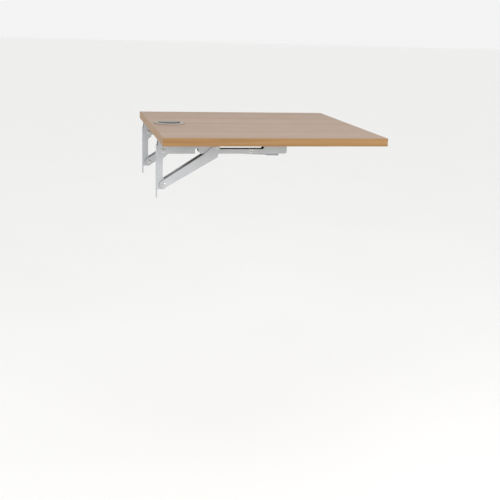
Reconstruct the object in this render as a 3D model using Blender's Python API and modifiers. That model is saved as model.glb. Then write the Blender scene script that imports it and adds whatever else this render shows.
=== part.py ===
"""Fold-down side shelf: a laminate leaf with a cable grommet, carried by two locking folding brackets.

Frame, in metres: the wall is the plane X = 0 and the leaf stands out along +X. Y runs from the front
edge to the rear edge, Z is up, and Z = 0 is the leaf's underside. The origin lies on the wall, midway
between the brackets. Each bracket is described at Y = 0 and then moved to its own place along Y.
"""

import math

import bmesh
import bpy
from mathutils import Matrix, Vector

MM = 0.001
GAP = 0.3 * MM  # between pieces that touch

# Leaf
PROJECTION = 545 * MM  # wall to outer edge
WIDTH = 572 * MM  # front edge to rear edge
BOARD = 19 * MM  # core with both laminates
LAMINATE = 0.8 * MM
EDGE_BAND = 1.5 * MM
WALL_GAP = 3 * MM
ARRIS = 0.4 * MM

# Cable grommet, centred between the front and rear edges
GROMMET_X = 53 * MM
FLANGE_R = 40 * MM
LINER_R = 34 * MM
SEAT_R = 29.2 * MM
CAP_R = 32.2 * MM
CAP_SEAT = BOARD - 1.6 * MM
FLANGE_TOP = BOARD + 3.4 * MM
CAP_TOP = BOARD + 3 * MM
CAP_WALL = 1.4 * MM
CAP_EDGE_R = 60 * MM  # the cap ends in this arc, and the liner is open in front of it
CAP_EDGE_Y = 4 * MM

# Bracket: places along X and Z
BRACKET_Y = 174 * MM  # from the origin to each bracket's middle plane
FOLD_PIVOT = Vector((15 * MM, 0, -25 * MM))
STRUT_PIVOT = Vector((17 * MM, 0, -107 * MM))
SLOT_Z = -16.5 * MM
PIN_LOCKED_X = 146 * MM
SLOT_END_X = 263 * MM
LEVER_PIVOT = Vector((231.5 * MM, 0, -26.2 * MM))
ARM_END_X = 321 * MM
ARM_DEPTH = 32 * MM
SPRING_X = 281 * MM
TONGUE_TOP_Z = -32.3 * MM  # the lever's tongue under the spring
LEAF_SCREW_X = (60 * MM, 190 * MM, 307 * MM)
WALL_SCREW_Z = (-46 * MM, -78 * MM, -131 * MM)
PLATE_TOP_Z = -12 * MM
PLATE_FLANGE_END_Z = -118.5 * MM
PLATE_END_Z = -140 * MM

# Bracket: sheet metal, with each channel's outside width along Y
GAUGE = 2 * MM
LEVER_GAUGE = 1.5 * MM
PLATE_WIDTH = 19.2 * MM
LEVER_WIDTH = 19 * MM
ARM_WIDTH = 24 * MM
STRUT_WIDTH = 29 * MM
BEND_R = 1.5 * MM

# Bracket: pins and screws
FOLD_PIN_R = 3.5 * MM
STRUT_PIN_R = 3.25 * MM
SLOT_PIN_R = 4 * MM
PIN_STUB_R = 2.8 * MM
RIVET_R = 4 * MM
RIVET_BORE_R = 1.8 * MM
SPRING_R = 4.2 * MM
WIRE_R = 0.5 * MM
SCREW_R = 2 * MM
SCREW_LENGTH = 15 * MM
SCREW_HEAD_R = 4.2 * MM
WALL_HOLE_R = 2.5 * MM

# The strut's line, worked out from the pivots: along it to the slot pin, and its slope
STRUT_LENGTH = math.hypot(PIN_LOCKED_X - STRUT_PIVOT.x, SLOT_Z - STRUT_PIVOT.z)
STRUT_ANGLE = math.atan2(SLOT_Z - STRUT_PIVOT.z, PIN_LOCKED_X - STRUT_PIVOT.x)

BRACKETS = (("front", -BRACKET_Y), ("rear", BRACKET_Y))
ROUND_STEPS = 20
GROMMET_STEPS = 40
STRUT_HOLE_STEPS = 24
SCREW_STEPS = 12
ROUND_END = 0.999  # a slot's corner radius over its half width, which keeps the two arcs apart
HAIR = 0.02 * MM  # two places closer than this are the same
LONG = 60 * MM  # how far a cutter runs past what it cuts


# Scene


def clear_scene():
    for obj in list(bpy.data.objects):
        bpy.data.objects.remove(obj, do_unlink=True)


def new_collection(name):
    made = bpy.data.collections.new(name)
    bpy.context.scene.collection.children.link(made)
    return made


def new_material(name, colour, roughness, metallic=0.0):
    made = bpy.data.materials.new(name)
    made.use_nodes = True
    shader = made.node_tree.nodes["Principled BSDF"]
    shader.inputs["Base Color"].default_value = (*colour, 1.0)
    shader.inputs["Roughness"].default_value = roughness
    shader.inputs["Metallic"].default_value = metallic
    return made


def new_axis(name, place, parent=None):
    """An empty on a joint's axis, which the pieces that turn or slide there are parented to."""
    empty = bpy.data.objects.new(name, None)
    empty.empty_display_size = 0.02
    PARTS.objects.link(empty)
    empty.location = place - parent.location if parent else place
    empty.parent = parent
    bpy.context.view_layer.update()
    return empty


def add_part(name, mesh, material, axis=None):
    obj = bpy.data.objects.new(name, mesh)
    mesh.materials.append(material)
    PARTS.objects.link(obj)
    if axis:
        obj.parent = axis
        obj.matrix_parent_inverse = axis.matrix_world.inverted()
    return obj


def add_cutter(name, mesh):
    obj = bpy.data.objects.new(name, mesh)
    obj.hide_render = True
    obj.display_type = "WIRE"
    CUTTERS.objects.link(obj)
    return obj


def cut(obj, name, mesh, operation="DIFFERENCE"):
    """Cuts with a mesh, and returns the cutter."""
    boolean = obj.modifiers.new(name, "BOOLEAN")
    boolean.operation = operation
    boolean.solver = "EXACT"
    boolean.object = add_cutter(f"{obj.name}_{name}", mesh)
    return boolean.object


def cut_here(obj, name, mesh):
    """Cuts with a mesh that was described at the bracket's own middle plane."""
    cutter = cut(obj, name, mesh)
    cutter.location.y = obj.location.y


def smooth(mesh):
    mesh.shade_smooth()
    mesh.set_sharp_from_angle(angle=math.radians(32))


# Shapes


def finish_mesh(bm, name):
    bmesh.ops.recalc_face_normals(bm, faces=bm.faces)
    mesh = bpy.data.meshes.new(name)
    bm.to_mesh(mesh)
    bm.free()
    return mesh


def box_mesh(name, low, high):
    low, high = Vector(low), Vector(high)
    bm = bmesh.new()
    place = Matrix.Translation((low + high) / 2) @ Matrix.Diagonal((*(high - low), 1))
    bmesh.ops.create_cube(bm, size=1, matrix=place)
    return finish_mesh(bm, name)


def rods_mesh(name, centres, radius, length, along="Y", steps=ROUND_STEPS):
    """Cylinders of one size with their middles at the given centres."""
    turn = Matrix.Rotation(math.radians(90), 4, "X") if along == "Y" else Matrix()
    if along == "X":
        turn = Matrix.Rotation(math.radians(90), 4, "Y")
    bm = bmesh.new()
    for centre in centres:
        bmesh.ops.create_cone(
            bm, cap_ends=True, segments=steps, radius1=radius, radius2=radius, depth=length,
            matrix=Matrix.Translation(centre) @ turn,
        )
    return finish_mesh(bm, name)


def rounded(corners, steps=4):
    """The outline through (x, z, radius) corners, with each corner that has a radius turned into an arc."""
    points = []
    for i, (x, z, radius) in enumerate(corners):
        here = Vector((x, z))
        if not radius:
            points.append(here)
            continue
        before = (Vector(corners[i - 1][:2]) - here).normalized()
        after = (Vector(corners[(i + 1) % len(corners)][:2]) - here).normalized()
        half = before.angle(after) / 2
        centre = here + (before + after).normalized() * radius / math.sin(half)
        start = here + before * radius / math.tan(half) - centre
        end = here + after * radius / math.tan(half) - centre
        sweep = start.angle_signed(end)
        for step in range(steps + 1):
            points.append(centre + Matrix.Rotation(-sweep * step / steps, 2) @ start)
    return points


def plate_mesh(name, corners, width, turn=0.0, pivot=Vector()):
    """A flat outline in the XZ plane, width wide along Y, turned up by an angle about a pivot."""
    curve = bpy.data.curves.new(name, "CURVE")
    curve.dimensions = "2D"
    curve.fill_mode = "BOTH"
    curve.extrude = width / 2
    outline = rounded(corners)
    spline = curve.splines.new("POLY")
    spline.points.add(len(outline) - 1)
    for point, (x, z) in zip(spline.points, outline):
        point.co = (x, z, 0, 1)
    spline.use_cyclic_u = True
    obj = bpy.data.objects.new(name, curve)
    CUTTERS.objects.link(obj)
    stand = Matrix.Rotation(math.radians(90), 4, "X")
    obj.matrix_world = Matrix.Translation(pivot) @ Matrix.Rotation(-turn, 4, "Y") @ stand
    bpy.context.view_layer.update()
    evaluated = obj.evaluated_get(bpy.context.evaluated_depsgraph_get())
    flat = bpy.data.meshes.new_from_object(evaluated)
    flat.transform(obj.matrix_world)
    bpy.data.objects.remove(obj)
    bm = bmesh.new()
    bm.from_mesh(flat)
    bpy.data.meshes.remove(flat)
    bmesh.ops.remove_doubles(bm, verts=bm.verts, dist=1e-6)
    return finish_mesh(bm, name)


def turned_mesh(name, profile, closed=False, along="Z", place=Vector(), steps=ROUND_STEPS):
    """(radius, height) points, top to bottom down the outer side, turned round the Z or the Y axis."""
    edges = [(i, i + 1) for i in range(len(profile) - 1)]
    if closed:
        edges.append((len(profile) - 1, 0))
    line = bpy.data.meshes.new(name)
    line.from_pydata([(r, 0, z) for r, z in profile], edges, [])
    obj = bpy.data.objects.new(name, line)
    CUTTERS.objects.link(obj)
    screw = obj.modifiers.new("turn", "SCREW")
    screw.axis = "Z"
    screw.steps = steps
    screw.render_steps = steps
    screw.use_merge_vertices = True
    screw.merge_threshold = 0.01 * MM
    bpy.context.view_layer.update()
    mesh = bpy.data.meshes.new_from_object(obj.evaluated_get(bpy.context.evaluated_depsgraph_get()))
    bpy.data.objects.remove(obj)
    if along == "Y":
        mesh.transform(Matrix.Rotation(math.radians(-90), 4, "X"))
    mesh.transform(Matrix.Translation(place))
    smooth(mesh)
    return mesh


def round_bends(mesh, is_bend, radius=BEND_R):
    """Rounds the straight edges whose two ends both pass the test."""
    bm = bmesh.new()
    bm.from_mesh(mesh)
    bends = [edge for edge in bm.edges if all(is_bend(vert.co) for vert in edge.verts)]
    bmesh.ops.bevel(bm, geom=bends, offset=radius, segments=2, profile=0.5, affect="EDGES")
    bm.to_mesh(mesh)
    bm.free()
    smooth(mesh)


def add_arris(obj, width=ARRIS):
    bevel = obj.modifiers.new("arris", "BEVEL")
    bevel.width = width
    bevel.segments = 2
    bevel.limit_method = "ANGLE"


# Leaf


def leaf_limits():
    """(low, high) X and Y of the board inside its edge bands."""
    inner = WALL_GAP + EDGE_BAND + GAP
    outer = PROJECTION - EDGE_BAND - GAP
    side = WIDTH / 2 - EDGE_BAND - GAP
    return inner, outer, side


def leaf_screw_places(z):
    return [Vector((x, y, z)) for x in LEAF_SCREW_X for _, y in BRACKETS]


def make_leaf_core(axis):
    inner, outer, side = leaf_limits()
    bottom, top = LAMINATE + GAP, BOARD - LAMINATE - GAP
    core = add_part("leaf_core", box_mesh("leaf_core", (inner, -side, bottom), (outer, side, top)),
                    CHIPBOARD, axis)
    hole = rods_mesh("grommet", [Vector((GROMMET_X, 0, 0))], LINER_R + GAP, LONG, "Z", GROMMET_STEPS)
    cut(core, "grommet_hole", hole)
    screw_room = 2 * (SCREW_LENGTH - GAUGE)
    pilots = rods_mesh("pilots", leaf_screw_places(0), SCREW_R + GAP, screw_room, "Z", SCREW_STEPS)
    cut(core, "pilot_holes", pilots)


def make_laminate(name, bottom, material, axis, screw_holes=False):
    inner, outer, side = leaf_limits()
    sheet = box_mesh(name, (inner, -side, bottom), (outer, side, bottom + LAMINATE))
    obj = add_part(name, sheet, material, axis)
    hole = rods_mesh(name, [Vector((GROMMET_X, 0, 0))], LINER_R + GAP, LONG, "Z", GROMMET_STEPS)
    cut(obj, "grommet_hole", hole)
    if screw_holes:
        holes = rods_mesh(name, leaf_screw_places(0), SCREW_R + GAP, LONG, "Z", SCREW_STEPS)
        cut(obj, "screw_holes", holes)


def make_edge_bands(axis):
    side = WIDTH / 2
    short = side - EDGE_BAND - GAP
    spans = {
        "edge_band_front": ((WALL_GAP, -side), (PROJECTION, EDGE_BAND - side)),
        "edge_band_rear": ((WALL_GAP, side - EDGE_BAND), (PROJECTION, side)),
        "edge_band_outer": ((PROJECTION - EDGE_BAND, -short), (PROJECTION, short)),
        "edge_band_inner": ((WALL_GAP, -short), (WALL_GAP + EDGE_BAND, short)),
    }
    for name, (low, high) in spans.items():
        band = add_part(name, box_mesh(name, (*low, 0), (*high, BOARD)), EDGE_TAN, axis)
        add_arris(band)


def make_grommet_ring(axis):
    """The liner in the board's hole, with a flange on the leaf and a seat for the cap."""
    top, under = FLANGE_TOP, BOARD + GAP
    wall = LINER_R - 2.8 * MM
    recess = CAP_R + 0.4 * MM
    seat = CAP_SEAT - GAP
    foot = 1.4 * MM
    ring = [
        (recess + 0.5 * MM, top), (FLANGE_R - 1.5 * MM, top), (FLANGE_R - 0.4 * MM, top - 0.5 * MM),
        (FLANGE_R, top - 1.4 * MM), (FLANGE_R, under), (LINER_R, under), (LINER_R, foot + 0.6 * MM),
        (LINER_R - 0.6 * MM, foot), (wall + 0.4 * MM, foot), (wall, foot + 0.4 * MM),
        (wall, seat - 2.6 * MM), (SEAT_R, seat - 1.1 * MM), (SEAT_R, seat), (recess, seat),
        (recess, top - 0.5 * MM),
    ]
    place = Vector((GROMMET_X, 0, 0))
    mesh = turned_mesh("grommet_ring", ring, True, place=place, steps=GROMMET_STEPS)
    add_part("grommet_ring", mesh, GREY_PLASTIC, axis)


def make_grommet_cap(axis):
    """The cap covers the rear half of the liner, and turns on its seat."""
    under, skirt_end = CAP_TOP - 1.8 * MM, CAP_SEAT - 4.5 * MM
    skirt = SEAT_R - GAP
    cap = [
        (0, CAP_TOP), (CAP_R - 3 * MM, CAP_TOP), (CAP_R - 0.3 * MM, CAP_TOP - 0.2 * MM),
        (CAP_R, CAP_TOP - 0.6 * MM), (CAP_R, CAP_SEAT), (skirt, CAP_SEAT), (skirt, skirt_end),
        (skirt - CAP_WALL, skirt_end), (skirt - CAP_WALL, under), (0, under),
    ]
    place = Vector((GROMMET_X, 0, 0))
    mesh = turned_mesh("grommet_cap", cap, place=place, steps=GROMMET_STEPS)
    obj = add_part("grommet_cap", mesh, GREY_PLASTIC, axis)
    arc_centre = place + Vector((0, CAP_EDGE_Y + CAP_EDGE_R, 0))
    kept = rods_mesh("kept", [arc_centre], CAP_EDGE_R, LONG * 2, "Z", 2 * GROMMET_STEPS)
    cut(obj, "cable_opening", kept, "INTERSECT")


# Bracket


def make_wall_plate(label, y):
    """The fixed channel: its web lies on the wall, and its flanges carry both pivot pins."""
    ear = 9 * MM
    depth = STRUT_PIVOT.x + 7 * MM
    neck = 15 * MM
    outline = [
        (0, PLATE_TOP_Z, 0), (depth, PLATE_TOP_Z, 8 * MM), (depth, FOLD_PIVOT.z - ear - 4 * MM, 6 * MM),
        (neck, FOLD_PIVOT.z - 2 * ear, 8 * MM), (neck, STRUT_PIVOT.z + 2 * ear, 8 * MM),
        (depth, STRUT_PIVOT.z + ear, 6 * MM), (depth, PLATE_FLANGE_END_Z, 8 * MM),
        (GAUGE, PLATE_FLANGE_END_Z, 0), (GAUGE, PLATE_END_Z, 0), (0, PLATE_END_Z, 0),
    ]
    name = f"{label}_wall_plate"
    mesh = plate_mesh(name, outline, PLATE_WIDTH)
    plate = add_part(name, mesh, STEEL)
    plate.location.y = y
    inside = PLATE_WIDTH / 2 - GAUGE
    cut_here(plate, "inside", box_mesh(name, (GAUGE, -inside, -4 * LONG), (LONG, inside, LONG)))
    cut_here(plate, "fold_hole", rods_mesh(name, [FOLD_PIVOT], FOLD_PIN_R + GAP, LONG))
    cut_here(plate, "strut_hole", rods_mesh(name, [STRUT_PIVOT], STRUT_PIN_R + GAP, LONG))
    places = [Vector((0, 0, z)) for z in WALL_SCREW_Z]
    cut_here(plate, "screw_holes", rods_mesh(name, places, WALL_HOLE_R, 10 * GAUGE, "X"))


def make_arm(label, y, axis):
    """The channel under the leaf, open side down, with a slot for the pin and a notch for the strut pivot."""
    name = f"{label}_arm"
    outline = [
        (WALL_GAP, -GAP, 0), (ARM_END_X, -GAP, 0), (ARM_END_X, -ARM_DEPTH, 5 * MM),
        (WALL_GAP, -ARM_DEPTH, 6.5 * MM),
    ]
    mesh = plate_mesh(name, outline, ARM_WIDTH)
    outer = ARM_WIDTH / 2
    round_bends(mesh, lambda co: co.z > -GAP - HAIR and abs(abs(co.y) - outer) < HAIR)
    arm = add_part(name, mesh, STEEL, axis)
    arm.location.y = y
    inside = outer - GAUGE
    cut_here(arm, "inside", box_mesh(name, (-LONG, -inside, -LONG), (PROJECTION, inside, -GAP - GAUGE)))
    half = SLOT_PIN_R + GAP
    start, end = PIN_LOCKED_X - half, SLOT_END_X
    slot = [
        (start, SLOT_Z - half, half * ROUND_END), (end, SLOT_Z - half, half * ROUND_END),
        (end, SLOT_Z + half, half * ROUND_END), (start, SLOT_Z + half, half * ROUND_END),
    ]
    cut_here(arm, "slot", plate_mesh(name, slot, LONG))
    cut_here(arm, "notch", plate_mesh(name, notch_outline(), LONG))
    cut_here(arm, "fold_hole", rods_mesh(name, [FOLD_PIVOT], FOLD_PIN_R + GAP, LONG))
    cut_here(arm, "rivet_hole", rods_mesh(name, [LEVER_PIVOT], RIVET_R + GAP, LONG))
    places = [Vector((x, 0, 0)) for x in LEAF_SCREW_X]
    cut_here(arm, "screw_holes", rods_mesh(name, places, SCREW_R + GAP, 10 * GAUGE, "Z", SCREW_STEPS))


def notch_outline():
    """The notch that takes in the strut pivot when the leaf hangs down, with a lead-in on its outer side."""
    middle = FOLD_PIVOT.x + (FOLD_PIVOT.z - STRUT_PIVOT.z)
    half = STRUT_PIN_R + 1.05 * MM
    top = FOLD_PIVOT.z + (STRUT_PIVOT.x - FOLD_PIVOT.x) + STRUT_PIN_R + 0.6 * MM
    lead_in = 5 * MM
    below = -ARM_DEPTH - LONG
    return [
        (middle - half, below, 0), (middle - half, top, 3.5 * MM), (middle + half, top, 3.5 * MM),
        (middle + half, -ARM_DEPTH + lead_in, 4 * MM),
        (middle + half + 2 * lead_in, -ARM_DEPTH - lead_in, 0), (middle + half + 2 * lead_in, below, 0),
    ]


def make_strut(label, y, axis):
    """The tapering channel that straddles the arm. Its outline runs along the line from pivot to slot pin."""
    name = f"{label}_strut"
    tail = -8.8 * MM
    upper = 10.3 * MM
    neck, neck_end = 5 * MM, STRUT_LENGTH - 34 * MM
    eye_r, eye_start = 7.2 * MM, STRUT_LENGTH - 14 * MM
    tip = STRUT_LENGTH + 19.4 * MM
    lower_end = STRUT_LENGTH - 13 * MM

    def lower(along):
        """The lower edge, which drops away from the line towards the slot pin."""
        depth, taper = 8.4 * MM, 0.0864
        return -depth - taper * along

    outline = [
        (tail, upper, 8 * MM), (neck_end, neck, 20 * MM), (eye_start, eye_r, 14 * MM), (tip, eye_r, eye_r),
        (lower_end, lower(lower_end), 4 * MM), (tail, lower(tail), 7 * MM),
    ]
    mesh = plate_mesh(name, outline, STRUT_WIDTH, STRUT_ANGLE, STRUT_PIVOT)
    outer = STRUT_WIDTH / 2
    down = Vector((math.sin(STRUT_ANGLE), 0, -math.cos(STRUT_ANGLE)))
    outward = Vector((math.cos(STRUT_ANGLE), 0, math.sin(STRUT_ANGLE)))

    def on_lower_bend(co):
        place = co - STRUT_PIVOT
        under = place.dot(down) + lower(place.dot(outward))
        return abs(under) < HAIR and abs(abs(co.y) - outer) < HAIR

    round_bends(mesh, on_lower_bend)
    strut = add_part(name, mesh, STEEL, axis)
    strut.location.y = y
    pin = Vector((PIN_LOCKED_X, 0, SLOT_Z))
    for hole, place, radius in (("pivot", STRUT_PIVOT, STRUT_PIN_R), ("pin", pin, PIN_STUB_R)):
        rod = rods_mesh(name, [place], radius + GAP, LONG, steps=STRUT_HOLE_STEPS)
        cut_here(strut, f"{hole}_hole", rod)
    web_start = 68 * MM  # the arm folds down between the flanges above it
    far = STRUT_LENGTH + LONG
    inside = [
        (-LONG, -LONG, 0), (web_start, -LONG, 0), (web_start, lower(web_start) + GAUGE, 0),
        (far, lower(far) + GAUGE, 0), (far, LONG, 0), (-LONG, LONG, 0),
    ]
    width = STRUT_WIDTH - 2 * GAUGE
    cut_here(strut, "inside", plate_mesh(name, inside, width, STRUT_ANGLE, STRUT_PIVOT))


def dome_profile(shank_r, head_r, face, head):
    """A low domed head that stands on a face, down to its shank."""
    return [
        (0, face + head), (head_r * 0.55, face + 0.9 * head), (head_r * 0.88, face + 0.65 * head),
        (head_r, face + 0.25 * head), (head_r, face), (shank_r, face),
    ]


def pin_profile(shank_r, head_r, half, head):
    """A shank with a low domed head on both ends."""
    upper = dome_profile(shank_r, head_r, half, head)
    return upper + [(r, -z) for r, z in reversed(upper)]


def make_pivot_pins(label, y):
    head_r, head = 5.5 * MM, 1.8 * MM
    fold = pin_profile(FOLD_PIN_R, head_r, ARM_WIDTH / 2 + GAP, head)
    place = FOLD_PIVOT + Vector((0, y, 0))
    add_part(f"{label}_fold_pin", turned_mesh("fold_pin", fold, along="Y", place=place), ZINC)
    strut = pin_profile(STRUT_PIN_R, head_r, STRUT_WIDTH / 2 + GAP, head)
    place = STRUT_PIVOT + Vector((0, y, 0))
    add_part(f"{label}_strut_pin", turned_mesh("strut_pin", strut, along="Y", place=place), ZINC)


def make_slot_pin(label, y, pin_axis, strut_axis):
    """The sliding pin between the strut's flanges, and the riveted head outside each of them."""
    half = STRUT_WIDTH / 2 - GAUGE - GAP
    chamfer = 0.5 * MM
    profile = [
        (0, half), (SLOT_PIN_R - chamfer, half), (SLOT_PIN_R, half - chamfer),
        (SLOT_PIN_R, chamfer - half), (SLOT_PIN_R - chamfer, -half), (0, -half),
    ]
    place = Vector((PIN_LOCKED_X, y, SLOT_Z))
    add_part(f"{label}_slot_pin", turned_mesh("slot_pin", profile, along="Y", place=place), ZINC, pin_axis)
    dome = dome_profile(PIN_STUB_R, 4.9 * MM, GAUGE + GAP, 1.7 * MM)
    dome += [(PIN_STUB_R, 0), (0, 0)]
    for side, sign in (("outer", -1), ("inner", 1)):
        mesh = turned_mesh("pin_head", dome, along="Y")
        if sign < 0:
            mesh.transform(Matrix.Rotation(math.pi, 4, "X"))
        mesh.transform(Matrix.Translation(place + Vector((0, sign * (STRUT_WIDTH / 2 - GAUGE), 0))))
        add_part(f"{label}_pin_head_{side}", mesh, ZINC, strut_axis)


def make_lever(label, y, axis):
    """The release lever inside the arm: hook under the slot pin, rivet in the middle, tongue at the end."""
    name = f"{label}_lever"
    hook_x, hook_end, crank_x = PIN_LOCKED_X - 7 * MM, PIN_LOCKED_X + 10 * MM, 199 * MM
    tongue_x, tip_x = 271 * MM, ARM_END_X - 20 * MM
    hook_top = SLOT_Z - SLOT_PIN_R - 0.5 * MM  # below the slot pin's path
    boss_top, back_top = LEVER_PIVOT.z + 5 * MM, LEVER_PIVOT.z + 3.2 * MM
    hook_under, crank_under = -24.6 * MM, -25.6 * MM
    floor, floor_end = -32.4 * MM, -34.9 * MM
    tip_under, tip_top = -37.2 * MM, -32.8 * MM
    outline = [
        (hook_x, hook_under, 1.5 * MM), (crank_x, crank_under, 6 * MM), (crank_x + 8 * MM, floor, 6 * MM),
        (tongue_x - 3 * MM, floor_end, 0), (tongue_x, tip_under + 0.9 * MM, 0), (tip_x, tip_under, 2.5 * MM),
        (tip_x, tip_top, 1 * MM), (LEVER_PIVOT.x + 14 * MM, tip_top + 2.2 * MM, 6 * MM),
        (LEVER_PIVOT.x + 6 * MM, boss_top, 5 * MM), (LEVER_PIVOT.x - 6 * MM, boss_top, 5 * MM),
        (LEVER_PIVOT.x - 16 * MM, back_top, 6 * MM), (hook_end + 10 * MM, back_top, 4 * MM),
        (hook_end, hook_top, 2 * MM), (hook_x, hook_top, 1.5 * MM),
    ]
    lever = add_part(name, plate_mesh(name, outline, LEVER_WIDTH), STEEL_DARK, axis)
    lever.location.y = y
    floor_x = 262 * MM
    above = [
        (hook_x - LONG, hook_under + LEVER_GAUGE, 0), (hook_x, hook_under + LEVER_GAUGE, 0),
        (crank_x + 1 * MM, crank_under + LEVER_GAUGE, 5 * MM),
        (crank_x + 9 * MM, floor + LEVER_GAUGE, 5 * MM),
        (floor_x, floor_end + 0.3 * MM + LEVER_GAUGE, 0), (floor_x, 0, 0), (hook_x - LONG, 0, 0),
    ]
    width = LEVER_WIDTH - 2 * LEVER_GAUGE
    cut_here(lever, "inside", plate_mesh(name, above, width))
    hollow_x, hollow_end = tongue_x + LEVER_GAUGE, tip_x - LEVER_GAUGE
    under = [
        (hollow_x, -LONG, 0), (hollow_end, -LONG, 0), (hollow_end, -34.6 * MM, 1 * MM),
        (hollow_x, -34.4 * MM, 1 * MM),
    ]
    cut_here(lever, "tongue_hollow", plate_mesh(name, under, width))
    cut_here(lever, "rivet_hole", rods_mesh(name, [LEVER_PIVOT], RIVET_R + GAP, LONG))


def make_lever_rivet(label, y, axis):
    """A hollow rivet, flush with the arm's flanges so that the strut can fold over it."""
    half, bore, lip = ARM_WIDTH / 2, RIVET_BORE_R, 0.4 * MM
    tube = [
        (RIVET_R, half), (RIVET_R, -half), (bore + lip, -half), (bore, lip - half), (bore, half - lip),
        (bore + lip, half),
    ]
    place = LEVER_PIVOT + Vector((0, y, 0))
    mesh = turned_mesh("lever_rivet", tube, True, along="Y", place=place)
    add_part(f"{label}_lever_rivet", mesh, ZINC, axis)


def make_lever_spring(label, y, axis):
    """A compression coil between the arm's web and the lever's tongue."""
    turns, per_turn = 5, 8
    top = -GAP - GAUGE - WIRE_R - GAP
    bottom = TONGUE_TOP_Z + WIRE_R + GAP
    curve = bpy.data.curves.new(f"{label}_lever_spring", "CURVE")
    curve.dimensions = "3D"
    curve.bevel_depth = WIRE_R
    curve.bevel_resolution = 2
    curve.use_fill_caps = True
    count = turns * per_turn + 1
    spline = curve.splines.new("POLY")
    spline.points.add(count - 1)
    for i, point in enumerate(spline.points):
        angle = 2 * math.pi * i / per_turn
        # The first and the last turn lie flat, as a spring's closed ends do.
        share = min(max((i - per_turn) / (count - 1 - 2 * per_turn), 0), 1)
        flat = 2 * WIRE_R * (min(i / per_turn, 1) + max((i - count + 1 + per_turn) / per_turn, 0))
        z = bottom + flat + share * (top - bottom - 4 * WIRE_R)
        point.co = (SPRING_X + SPRING_R * math.cos(angle), y + SPRING_R * math.sin(angle), z, 1)
    add_curve_part(curve, SPRING_STEEL, axis)


def add_curve_part(curve, material, axis):
    curve.materials.append(material)
    obj = bpy.data.objects.new(curve.name, curve)
    PARTS.objects.link(obj)
    obj.parent = axis
    obj.matrix_parent_inverse = axis.matrix_world.inverted()


def make_leaf_screws(label, y, axis):
    """Pan-head wood screws, up through the arm's web into the core, with a cross recess."""
    head_top = -GAP - GAUGE - GAP
    head = 2.6 * MM
    tip = SCREW_LENGTH - GAUGE - 1.5 * MM
    profile = [
        (0, tip), (SCREW_R, tip - 4 * MM), (SCREW_R, head_top), (SCREW_HEAD_R, head_top),
        (SCREW_HEAD_R, head_top - 0.5 * head), (SCREW_HEAD_R * 0.6, head_top - head), (0, head_top - head),
    ]
    for number, x in enumerate(LEAF_SCREW_X, 1):
        place = Vector((x, y, 0))
        name = f"{label}_leaf_screw_{number}"
        screw = add_part(name, turned_mesh(name, profile, place=place, steps=SCREW_STEPS), ZINC, axis)
        deep = head_top - 0.55 * head
        long, thin = 2.2 * MM, 0.45 * MM
        for stroke, (dx, dy) in (("x", (long, thin)), ("y", (thin, long))):
            low = (x - dx, y - dy, -LONG)
            high = (x + dx, y + dy, deep)
            cut(screw, f"recess_{stroke}", box_mesh(name, low, high))


def make_bracket(label, y, fold_axis):
    strut_axis = new_axis(f"{label}_strut_axis", STRUT_PIVOT + Vector((0, y, 0)))
    pin_axis = new_axis(f"{label}_slot_pin_axis", Vector((PIN_LOCKED_X, y, SLOT_Z)), fold_axis)
    lever_axis = new_axis(f"{label}_lever_axis", LEVER_PIVOT + Vector((0, y, 0)), fold_axis)
    make_wall_plate(label, y)
    make_pivot_pins(label, y)
    make_arm(label, y, fold_axis)
    make_strut(label, y, strut_axis)
    make_slot_pin(label, y, pin_axis, strut_axis)
    make_lever(label, y, lever_axis)
    make_lever_rivet(label, y, fold_axis)
    make_lever_spring(label, y, fold_axis)
    make_leaf_screws(label, y, fold_axis)


def main():
    fold_axis = new_axis("leaf_fold_axis", FOLD_PIVOT)
    cap_axis = new_axis("grommet_cap_axis", Vector((GROMMET_X, 0, CAP_TOP)), fold_axis)
    make_leaf_core(fold_axis)
    make_laminate("top_laminate", BOARD - LAMINATE, LAMINATE_BEIGE, fold_axis)
    make_laminate("bottom_laminate", 0, LAMINATE_BEIGE, fold_axis, screw_holes=True)
    make_edge_bands(fold_axis)
    make_grommet_ring(fold_axis)
    make_grommet_cap(cap_axis)
    for label, y in BRACKETS:
        make_bracket(label, y, fold_axis)


clear_scene()
PARTS = new_collection("fold_down_side_shelf")
CUTTERS = new_collection("cutters")
LAMINATE_BEIGE = new_material("laminate_beige", (0.48, 0.36, 0.27), 0.45)
EDGE_TAN = new_material("edge_tan", (0.47, 0.28, 0.13), 0.42)
CHIPBOARD = new_material("chipboard", (0.45, 0.33, 0.2), 0.85)
GREY_PLASTIC = new_material("grey_plastic", (0.26, 0.25, 0.24), 0.5)
STEEL = new_material("painted_steel", (0.46, 0.48, 0.5), 0.4, 0.3)
STEEL_DARK = new_material("lever_steel", (0.33, 0.33, 0.34), 0.45, 0.4)
ZINC = new_material("zinc_pins", (0.55, 0.56, 0.57), 0.3, 0.9)
SPRING_STEEL = new_material("spring_steel", (0.3, 0.3, 0.31), 0.3, 1.0)
main()
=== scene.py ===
"""The looks of a fold-down side shelf: a laminate leaf with a cable grommet on folding brackets.

Everything is in metres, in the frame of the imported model: the wall is the plane X = 0, the leaf
stands out along +X, Y runs from the front edge to the rear edge, and Z = 0 is the leaf's underside.
"""

import math

import bmesh
import bpy
from mathutils import Matrix, Vector


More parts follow.
